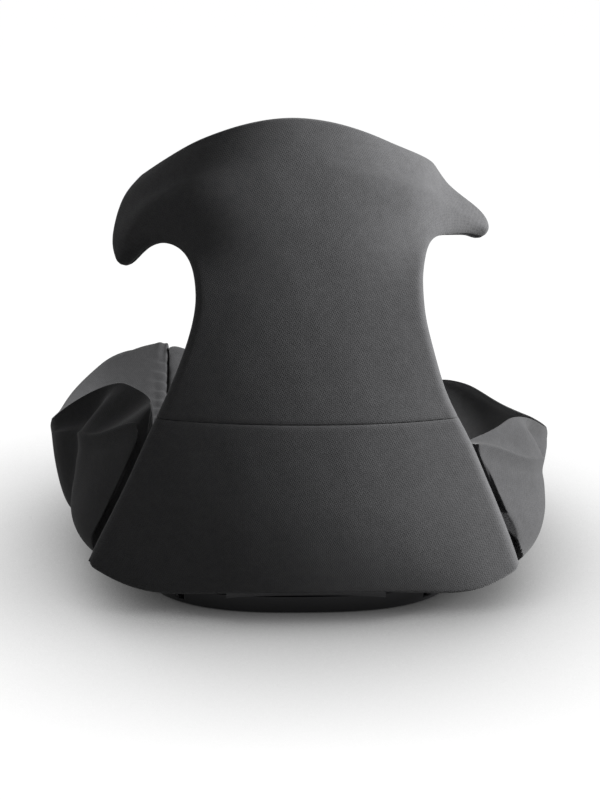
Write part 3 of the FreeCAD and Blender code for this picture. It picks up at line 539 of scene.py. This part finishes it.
def round_end(loop, q, reach):
    """Draws in a section near a wing's end, apart from its side beside the seat."""
    middle = loop.mean(axis=0)
    offset = loop - middle
    size = np.linalg.norm(offset, axis=1, keepdims=True)
    shrink = reach * 0.6 * float(arc(np.array(min(q, 1.0)))) / np.maximum(size, 8.0)
    small = middle + offset * np.maximum(0.15, 1 - shrink)
    beside_seat = loop[:, 0] < WING_INBOARD + 2.0
    small[beside_seat, 0] = loop[beside_seat, 0]
    return small


def wing_pad(name, side):
    """A whole hip wing: sections from its rear to its front, closed at both ends."""
    ys = np.unique(np.round(np.concatenate([
        np.linspace(WING_REAR, WING_REAR + 5, 9), np.arange(WING_REAR + 6, -40, 0.9),
        np.arange(-40, WING_FRONT - 14, 1.6), np.linspace(WING_FRONT - 12, WING_FRONT, 12)]), 3))
    loops = soften(np.array([wing_section(y, side) for y in ys]))
    count = loops.shape[1]
    for i, y in enumerate(ys):
        for end, reach in ((WING_REAR, 5.0), (WING_FRONT, 7.0)):
            q = 1 - abs(y - end) / reach
            if q > 0:
                loops[i] = round_end(loops[i], q, reach)
    p = np.stack([loops[..., 0], np.broadcast_to(ys[:, None], loops.shape[:2]), loops[..., 1]], -1)
    p = wing_detail(p)
    p = clear_panel(p, side)
    p[..., 0] *= side
    rows = len(ys)
    faces = grid_faces(rows, count, wrap=True)
    points = list(p.reshape(-1, 3))
    for i in (0, rows - 1):
        points.append(p[i].mean(axis=0))
        centre = len(points) - 1
        for j in range(count):
            k = (j + 1) % count
            faces.append((centre, i * count + j, i * count + k))
    along = np.concatenate([[0], np.cumsum(np.linalg.norm(np.diff(loops[60], axis=0), axis=1))])
    uv = np.stack(np.broadcast_arrays(ys[:, None], along[None, :]), -1).reshape(-1, 2)
    uv = np.concatenate([uv, [[WING_REAR, 80.0], [WING_FRONT, 80.0]]])
    obj = mesh_object(name, points, faces, uv)
    outward(obj)
    return obj


def bolster_x(y):
    """The seam at the foot of the bolster: it runs beside the seat and turns in towards its front."""
    return 152.0 - 32.0 * rise(-30, 120, y) - 12.0 * rise(-60, -150, y)


def wing_detail(p):
    """Puckers along both seams, a welt along the rim and the lip, and soft unevenness."""
    out = p.copy()
    j = np.arange(p.shape[1])
    x, y = p[..., 0], p[..., 1]
    beat = 0.5 + 0.5 * np.cos(2 * math.pi * y / STITCH)
    inner = bump(j, 7, 5)[None, :]
    out[..., 2] -= inner * (1.0 + 1.6 * beat ** 3 * rise(WING_FRONT, WING_FRONT - 25, y))
    inside = (j < RIM_AT - 8)[None, :]
    near = bump(x, bolster_x(y), STITCH_WIDTH) * inside * rise(WING_FRONT - 12, WING_FRONT - 30, y)
    out[..., 2] -= near * (0.5 + 1.9 * beat ** 4)
    out[..., 2] += 0.7 * bump(x, bolster_x(y) + 6.0, 3.5) * inside
    pod = rise(-60, -80, y)
    welt = PIPING * bump(j, RIM_AT, 2.2)[None, :] + 2.0 * PIPING * bump(j, LIP_AT, 1.6)[None, :] * pod
    out[..., 0] -= 1.2 * bump(j, LIP_AT + 6, 3.5)[None, :] * pod
    out[..., 2] += welt * 0.8
    out[..., 0] += welt * 0.5
    wobble = ripple(p, 52, 21)[..., None] * np.array([0.6, 0, 0.5])
    ends = rise(WING_REAR, WING_REAR + 20, y)[..., None]
    return out + wobble * ends


def clear_panel(p, side):
    """Keeps a hip wing clear of the backrest's lower end."""
    out = p.copy()
    x, y, z = p[..., 0], p[..., 1], p[..., 2]
    panel_rows = np.linspace(0, 7, 40)
    panel_edge = lie(back_point(panel_rows, float(side)))
    edge = np.interp(z, panel_edge[:, 2], np.abs(panel_edge[:, 0]))
    low = panel_edge[0, 2] - 6.0
    height = z + hem_sag(side * x, z)
    row = np.interp(height, centre_height(panel_rows), panel_rows)
    t = np.clip(x / np.maximum(edge, 1.0), 0, 1)
    front = profile_y(height) + x * x / (2 * PLAN_R) + front_depth(row, t) + PANEL_ROOM
    inside = (1 - rise(1.8, 2.8, x - edge)) * rise(low - 3, low, z)
    room = np.maximum(front - y, 0)
    out[..., 1] = y + room * inside * (y < WING_REAR + 30)
    return out


def wing_lie(p):
    """Moves a wing's shell as its padding lies, and keeps it clear of the backrest."""
    out = p.copy()
    x, y, z = p[..., 0], p[..., 1], p[..., 2]
    side = np.where(x < 0, -1, 1)
    above = np.clip((z - wall_z(y)) / (lip_z(y) - wall_z(y)), 0, 1)
    below = np.clip((z - under_z(y)) / (wall_z(y) - under_z(y)), 0, 1)
    for hand in (-1, 1):
        mine = side == hand
        at_lip, at_wall = lip_shift(y, hand), wall_shift(y, hand)
        out[..., 0] += mine * hand * (at_wall + (at_lip - at_wall) * above) * below
        out[..., 2] += mine * LIP_SHARE * rim_lift(y, hand) * above
        mirrored = out * np.array([hand, 1, 1])
        room = clear_panel(mirrored, hand)[..., 1] - out[..., 1]
        out[..., 1] += mine * (room + 3.0 * (room > 0))
    return out


# ------------------------------------------------------------------ seat centre
NOSE = 9.0                  # rounding of the seat's front
SEAT_PUCKER = 9.5           # spacing of the puckers along its side seams
SEAT_EDGE = 9.0             # width of the rounding beside them
TOP_POINTS, FACE_POINTS, UNDER_POINTS = 110, 34, 34  # of a section


def seat_top(x, y):
    """Height of the seat's centre: it dips between its side seams."""
    dip = 7.0 + 3.0 * rise(100, SEAT_FRONT, y)
    return seam_z(y) - dip * (1 - (x / CENTRE_HALF) ** 2)


def seat_lie(p):
    """The seat's front corner is higher on the left than on the right."""
    out = p.copy()
    x, y, z = p[..., 0], p[..., 1], p[..., 2]
    tilt = np.where(x < 0, SEAT_TILT[-1], SEAT_TILT[1]) * x / CENTRE_HALF
    out[..., 2] -= tilt * tilt_share(y) * rise(30, 60, z)
    return out


def seat_section(x):
    """One closed section of the seat's centre at x, as (y, z) points: top, front, underside, rear."""
    front = SEAT_FRONT - 9.0 * (x / CENTRE_HALF) ** 2
    rear = SEAT_REAR + x * x / (2 * PLAN_R)
    top_y = np.linspace(rear + 5, front - 3 * NOSE, TOP_POINTS)
    top = np.stack([top_y, seat_top(x, top_y)], -1)
    brow = front - NOSE
    peak = float(seat_top(x, brow))
    chin = (front - NOSE * 0.8, float(under_z(front - NOSE)) - 5.5)
    face = run_points([
        (front - 2 * NOSE, float(seat_top(x, front - 2 * NOSE))), (brow, peak), (front, peak - NOSE),
        ((front + chin[0]) / 2 + 2.0, (peak - NOSE + chin[1]) / 2), chin], FACE_POINTS)
    under_y = np.linspace(chin[0] - 4, 84, UNDER_POINTS)
    under = np.stack([under_y, under_z(under_y) - 1.9], -1)
    back_up = np.array([
        [84.0, 33.0], [70.0, 33.2], [-120.0, 33.2], [rear + 3, 34.0], [rear, 38.0], [rear, 50.0],
        [rear + 0.8, float(seat_top(x, rear)) - 5]])
    return np.concatenate([top, face, under, back_up])


def seat_pad(name):
    """The seat's centre: sections from its left side to its right, closed at both."""
    edge_xs = np.array([108.0, 111.2, 113.6, 115.2, 116.2, 116.6])
    xs = np.concatenate([-edge_xs[::-1], np.linspace(-104, 104, 60), edge_xs])
    loops = np.array([seat_section(x) for x in xs])
    count = loops.shape[1]
    inside = CENTRE_HALF - np.abs(xs)
    q = np.clip(1 - inside / SEAT_EDGE, 0, 1)
    p = np.stack([np.broadcast_to(xs[:, None], loops.shape[:2]), loops[..., 0], loops[..., 1]], -1)
    y = p[..., 1]
    edge = arc(q)[:, None]
    j = np.arange(count)[None, :]
    on_top = j < TOP_POINTS + FACE_POINTS - 4
    on_front = (j > TOP_POINTS - 2) & (j < TOP_POINTS + FACE_POINTS + 6)
    pucker = 1.0 + 0.35 * np.cos(2 * math.pi * y / SEAT_PUCKER) * on_top
    p[..., 2] -= np.where(on_top, edge * 4.5 * pucker, 0)
    p[..., 1] -= np.where(on_front, edge * 4.0, 0)
    p[..., 2] += np.where(on_top, 0.7 * ripple(p, 55, 31) * (1 - edge), 0)
    p = seat_lie(p)
    rows = len(xs)
    faces = grid_faces(rows, count, wrap=True)
    points = list(p.reshape(-1, 3))
    along = np.concatenate([[0], np.cumsum(np.linalg.norm(np.diff(loops[30], axis=0), axis=1))])
    uv = np.stack(np.broadcast_arrays(xs[:, None], along[None, :]), -1).reshape(-1, 2)
    for i in (0, rows - 1):
        faces.append(tuple(range(i * count, (i + 1) * count)))
    obj = mesh_object(name, points, faces, uv)
    outward(obj)
    return obj


# ------------------------------------------------------------------ materials
def shader_nodes(name):
    """A new material, its tree and its main shader."""
    material = bpy.data.materials.new(name)
    material.use_nodes = True
    tree = material.node_tree
    return material, tree, tree.nodes["Principled BSDF"]


def node(tree, kind, **settings):
    """A new node: settings with a capital letter are its sockets' values, the others its properties."""
    made = tree.nodes.new(kind)
    for key, value in settings.items():
        if key[0].isupper():
            made.inputs[key].default_value = value
        else:
            setattr(made, key, value)
    return made


def math_node(tree, operation, a, b=None):
    """Output of a Math node; a and b are sockets or numbers."""
    made = tree.nodes.new("ShaderNodeMath")
    made.operation = operation
    for socket, value in zip(made.inputs, (a, b)):
        if value is None:
            continue
        if isinstance(value, (int, float)):
            socket.default_value = value
        else:
            tree.links.new(value, socket)
    return made.outputs[0]


def tint(tree, shader, tone, colour, dark, light, start=0.0, end=1.0):
    """Base colour that runs from dark to light times the colour, as the tone goes from start to end."""
    ramp = node(tree, "ShaderNodeValToRGB")
    first, last = ramp.color_ramp.elements
    first.position, last.position = start, end
    first.color = tuple(c * dark for c in colour) + (1,)
    last.color = tuple(min(c * light, 1) for c in colour) + (1,)
    tree.links.new(tone, ramp.inputs[0])
    tree.links.new(ramp.outputs[0], shader.inputs["Base Color"])


def uneven_gloss(tree, shader, tone, low, high):
    """Roughness between two values, after the tone."""
    gloss = node(tree, "ShaderNodeMapRange")
    gloss.inputs["To Min"].default_value = low
    gloss.inputs["To Max"].default_value = high
    tree.links.new(tone, gloss.inputs[0])
    tree.links.new(gloss.outputs[0], shader.inputs["Roughness"])


def thread_height(tree, across, along):
    """Height of one set of threads: round across, and up and down along the other set."""
    round_top = math_node(tree, "SINE", across)
    over_under = math_node(tree, "COSINE", math_node(tree, "MULTIPLY", along, 0.5))
    return math_node(tree, "MULTIPLY", round_top, over_under)


def fabric(name, colour, thread=0.8, roughness=0.92, sheen=0.15):
    """Fine plain weave, with slubs, a little mottling and a soft nap."""
    material, tree, shader = shader_nodes(name)
    link_up = tree.links.new
    uv = node(tree, "ShaderNodeUVMap", uv_map="UVMap")
    split = node(tree, "ShaderNodeSeparateXYZ")
    link_up(uv.outputs[0], split.inputs[0])
    turns = 2 * math.pi / (thread * 2 * MM)
    u = math_node(tree, "MULTIPLY", split.outputs[0], turns)
    v = math_node(tree, "MULTIPLY", split.outputs[1], turns)
    weave = math_node(tree, "MAXIMUM", thread_height(tree, u, v), thread_height(tree, v, u))
    place = node(tree, "ShaderNodeTexCoord")
    slub = node(tree, "ShaderNodeTexNoise", Scale=520.0, Detail=3.0, Roughness=0.6)
    mottle = node(tree, "ShaderNodeTexNoise", Scale=140.0, Detail=4.0, Roughness=0.65)
    broad = node(tree, "ShaderNodeTexNoise", Scale=9.0, Detail=2.0, Roughness=0.5)
    for noise in (slub, mottle, broad):
        link_up(place.outputs["Object"], noise.inputs["Vector"])
    tone = math_node(tree, "MULTIPLY", weave, 0.16)
    for noise, weight in ((slub, 0.42), (mottle, 0.42), (broad, 0.12)):
        tone = math_node(tree, "ADD", tone, math_node(tree, "MULTIPLY", noise.outputs[0], weight))
    tint(tree, shader, tone, colour, 0.72, 1.32, 0.25, 0.75)
    height = math_node(tree, "ADD", math_node(tree, "MULTIPLY", weave, 0.6), slub.outputs[0])
    relief = node(tree, "ShaderNodeBump", Strength=0.30, Distance=0.0004)
    link_up(height, relief.inputs["Height"])
    link_up(relief.outputs[0], shader.inputs["Normal"])
    shader.inputs["Roughness"].default_value = roughness
    shader.inputs["Specular IOR Level"].default_value = 0.25
    shader.inputs["Sheen Weight"].default_value = sheen
    shader.inputs["Sheen Roughness"].default_value = 0.5
    return material


def moulded(name, colour, roughness=0.5, grain=900.0, strength=0.12):
    """Moulded plastic or rubber: fine grain, slightly uneven gloss."""
    material, tree, shader = shader_nodes(name)
    place = node(tree, "ShaderNodeTexCoord")
    fine = node(tree, "ShaderNodeTexNoise", Scale=grain, Detail=3.0)
    broad = node(tree, "ShaderNodeTexNoise", Scale=18.0, Detail=3.0)
    for noise in (fine, broad):
        tree.links.new(place.outputs["Object"], noise.inputs["Vector"])
    tint(tree, shader, broad.outputs[0], colour, 0.85, 1.15)
    uneven_gloss(tree, shader, broad.outputs[0], roughness - 0.06, roughness + 0.08)
    relief = node(tree, "ShaderNodeBump", Strength=strength, Distance=0.0003)
    tree.links.new(fine.outputs[0], relief.inputs["Height"])
    tree.links.new(relief.outputs[0], shader.inputs["Normal"])
    return material


def plated(name, colour):
    """Zinc-plated steel with faint drawn lines."""
    material, tree, shader = shader_nodes(name)
    shader.inputs["Metallic"].default_value = 1.0
    place = node(tree, "ShaderNodeTexCoord")
    stretch = node(tree, "ShaderNodeMapping")
    stretch.inputs["Scale"].default_value = (60.0, 900.0, 900.0)
    lines = node(tree, "ShaderNodeTexNoise", Scale=1.0, Detail=4.0)
    tree.links.new(place.outputs["Object"], stretch.inputs[0])
    tree.links.new(stretch.outputs[0], lines.inputs["Vector"])
    tint(tree, shader, lines.outputs[0], colour, 0.8, 1.2)
    uneven_gloss(tree, shader, lines.outputs[0], 0.28, 0.45)
    return material


# One fabric covers the backrest and the seat: back_fabric holds its colour, and the darker front_fabric and
# seat_fabric copies are painted shade.
BACK_FABRIC = fabric("back_fabric", (0.095, 0.095, 0.098))
SHADED_FRONT_FABRIC = fabric("front_fabric", (0.080, 0.080, 0.083))
SHADED_SEAT_FABRIC = fabric("seat_fabric", (0.055, 0.055, 0.057))
TRAY = moulded("tray_plastic", (0.018, 0.018, 0.020), 0.45)
SHELL = moulded("shell_plastic", (0.03, 0.03, 0.033), 0.55)
LEAF = moulded("leaf_plastic", (0.035, 0.035, 0.038), 0.5)
RIVET = moulded("rivet_plastic", (0.02, 0.02, 0.02), 0.4)
GRIP = moulded("grip_rubber", (0.03, 0.03, 0.03), 0.85, 600.0, 0.3)
STEEL = plated("screw_steel", (0.45, 0.45, 0.47))
for material, nodes in {
    TRAY: ["base_tray"], GRIP: ["grip_pad_centre", "grip_pads_corner"],
    STEEL: ["seat_screws", "leaf_screws", "clamp_bar"], LEAF: ["leaf_foot"],
    RIVET: ["seat_rivets", "wing_rivets_left", "wing_rivets_right"],
}.items():
    for name in nodes:
        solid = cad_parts[name]
        for slot in solid.material_slots:
            slot.material = material


def dress(obj, body, slot, material, *nodes, fill=0.8):
    """Gives a padded piece its material, its body, and the nodes that it stands for."""
    obj.data.materials.append(material)
    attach(obj, body)
    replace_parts(obj, *nodes)
    return obj


FLEX_STEP = 12.0 * MM       # an edge longer than this is halved before a plate is bent


def split_edges(mesh):
    """Halves long edges, so that a flat side can bend."""
    net = bmesh.new()
    net.from_mesh(mesh)
    bmesh.ops.remove_doubles(net, verts=net.verts, dist=1e-6)
    bmesh.ops.triangulate(net, faces=net.faces)
    for _ in range(4):
        wide = [edge for edge in net.edges if edge.calc_length() > FLEX_STEP]
        bmesh.ops.subdivide_edges(net, edges=wide, cuts=1, use_grid_fill=True)
        bmesh.ops.triangulate(net, faces=net.faces)
    net.to_mesh(mesh)
    net.free()


def flexed(name, shift, body, material):
    """Stands for a sprung plate of the frame, bent as the padding round it lies."""
    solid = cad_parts[name]
    mesh = solid.data.copy()
    split_edges(mesh)
    place = np.array(solid.matrix_world)
    points = np.empty(len(mesh.vertices) * 3)
    mesh.vertices.foreach_get("co", points)
    points = points.reshape(-1, 3) @ place[:3, :3].T + place[:3, 3]
    mesh.vertices.foreach_set("co", (shift(points / MM) * MM).ravel())
    mesh.materials.clear()
    mesh.materials.append(material)
    mesh.update()
    obj = link(bpy.data.objects.new(name + "_flexed", mesh))
    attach(obj, body)
    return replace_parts(obj, name)


dress(rear_piece("rear_panel_upper", SEAM_ROW + SEAM_GAP, float(ROW_LAST), (False, True)),
      "back", "back_fabric", BACK_FABRIC, "rear_cover_upper", "back_wadding")
dress(rear_piece("rear_panel_lower", 0.0, SEAM_ROW - SEAM_GAP, (True, False)),
      "back", "back_fabric", BACK_FABRIC, "rear_cover_lower")
dress(front_piece("front_panel"), "back", "front_fabric", SHADED_FRONT_FABRIC,
      "front_cover", "back_foam", "lumbar_pad")
dress(seat_pad("seat_panel"), "base", "seat_fabric", SHADED_SEAT_FABRIC, "seat_cover", "seat_foam")
for name, shift, body, slot, material in [
    ("back_leaf", lie, "back", "leaf_plastic", LEAF),
    ("seat_shell", seat_lie, "base", "shell_plastic", SHELL),
    ("wing_shell_left", wing_lie, "left_wing", "shell_plastic", SHELL),
    ("wing_shell_right", wing_lie, "right_wing", "shell_plastic", SHELL),
]:
    flexed(name, shift, body, material)
for label, side in (("left", -1), ("right", 1)):
    dress(wing_pad("hip_wing_" + label, side), label + "_wing", "seat_fabric", SHADED_SEAT_FABRIC,
          "wing_cover_" + label, "wing_foam_" + label)

# ------------------------------------------------------------------ camera
AZIMUTH, ELEVATION, ROLL = math.radians(-3.0), math.radians(18.0), math.radians(0.8)
TARGET = Vector((0.0, -0.020, 0.133))
DISTANCE = 1.5
LENS, SENSOR = 78.0, 36.0
SHIFT_X, SHIFT_Y = 0.00125, 0.01
away = Vector((
    math.sin(AZIMUTH) * math.cos(ELEVATION), -math.cos(AZIMUTH) * math.cos(ELEVATION), math.sin(ELEVATION)))
level_right = (-away).cross(Vector((0, 0, 1))).normalized()
level_up = level_right.cross(-away)
right = level_right * math.cos(ROLL) + level_up * math.sin(ROLL)
up = -level_right * math.sin(ROLL) + level_up * math.cos(ROLL)
camera_data = bpy.data.cameras.new("camera")
camera_data.lens = LENS
camera_data.sensor_width = SENSOR
camera_data.shift_x = SHIFT_X
camera_data.shift_y = SHIFT_Y
camera = link(bpy.data.objects.new("camera", camera_data))
turn = Matrix((right, up, away)).transposed().to_4x4()
camera.matrix_world = Matrix.Translation(TARGET + away * DISTANCE) @ turn
bpy.context.scene.camera = camera


# ------------------------------------------------------------------ floor, world and lamps
def studio_rays(tree):
    """1 for rays that see the studio directly, in glass or in metal; 0 for the others."""
    path = node(tree, "ShaderNodeLightPath")
    mirrored = math_node(
        tree, "MAXIMUM", path.outputs["Is Glossy Ray"], path.outputs["Is Transmission Ray"])
    return math_node(tree, "MAXIMUM", path.outputs["Is Camera Ray"], mirrored)


def floor_material():
    """White floor whose glow dims near the seat in a painted soft shadow, over a faint lamp-lit layer that
    shows real shadows; it throws back little light.
    """
    material = bpy.data.materials.new("floor")
    material.use_nodes = True
    tree = material.node_tree
    tree.nodes.clear()
    out = node(tree, "ShaderNodeOutputMaterial")
    # painted shadow: the floor's glow dims with ambient occlusion near the seat, lit by no lamp
    near = node(tree, "ShaderNodeAmbientOcclusion", Distance=0.22)
    near.samples = 12
    shade = math_node(tree, "POWER", near.outputs["AO"], 1.5)
    paper = node(tree, "ShaderNodeEmission")
    tree.links.new(shade, paper.inputs["Strength"])
    lit = node(tree, "ShaderNodeBsdfDiffuse", Color=(0.06, 0.06, 0.06, 1))
    seen = node(tree, "ShaderNodeAddShader")
    tree.links.new(paper.outputs[0], seen.inputs[0])
    tree.links.new(lit.outputs[0], seen.inputs[1])
    dull = node(tree, "ShaderNodeBsdfDiffuse", Color=(0.12, 0.12, 0.12, 1))
    mix = node(tree, "ShaderNodeMixShader")
    tree.links.new(studio_rays(tree), mix.inputs[0])
    tree.links.new(dull.outputs[0], mix.inputs[1])
    tree.links.new(seen.outputs[0], mix.inputs[2])
    tree.links.new(mix.outputs[0], out.inputs[0])
    return material


FLOOR_HALF, FLOOR_Z = 9000, -0.3
floor = mesh_object("floor", [
    (-FLOOR_HALF, -FLOOR_HALF, FLOOR_Z), (FLOOR_HALF, -FLOOR_HALF, FLOOR_Z),
    (FLOOR_HALF, FLOOR_HALF, FLOOR_Z), (-FLOOR_HALF, FLOOR_HALF, FLOOR_Z)], [(0, 1, 2, 3)])
floor.data.materials.append(floor_material())

world = bpy.data.worlds.new("studio")
bpy.context.scene.world = world
world.use_nodes = True
tree = world.node_tree
ambient = tree.nodes["Background"]
ambient.inputs["Strength"].default_value = 0.11
white = node(tree, "ShaderNodeBackground", Color=(1, 1, 1, 1), Strength=1.0)
mix = node(tree, "ShaderNodeMixShader")
tree.links.new(studio_rays(tree), mix.inputs[0])
tree.links.new(ambient.outputs[0], mix.inputs[1])
tree.links.new(white.outputs[0], mix.inputs[2])
tree.links.new(mix.outputs[0], tree.nodes["World Output"].inputs[0])


def lamp(name, place, aim, size, power):
    """Round area lamp that faces a point."""
    data = bpy.data.lights.new(name, "AREA")
    data.shape = "DISK"
    data.size = size
    data.energy = power
    obj = link(bpy.data.objects.new(name, data))
    obj.location = place
    obj.rotation_euler = (Vector(aim) - Vector(place)).to_track_quat("-Z", "Y").to_euler()
    return obj


LAMP_AIM = (0, -0.1, 0.2)
lamp("key", (2.25, -0.36, 1.10), LAMP_AIM, 1.1, 136)
lamp("top", (-0.5, -1.0, 2.0), LAMP_AIM, 1.2, 3)

bpy.context.scene.view_settings.view_transform = "Standard"
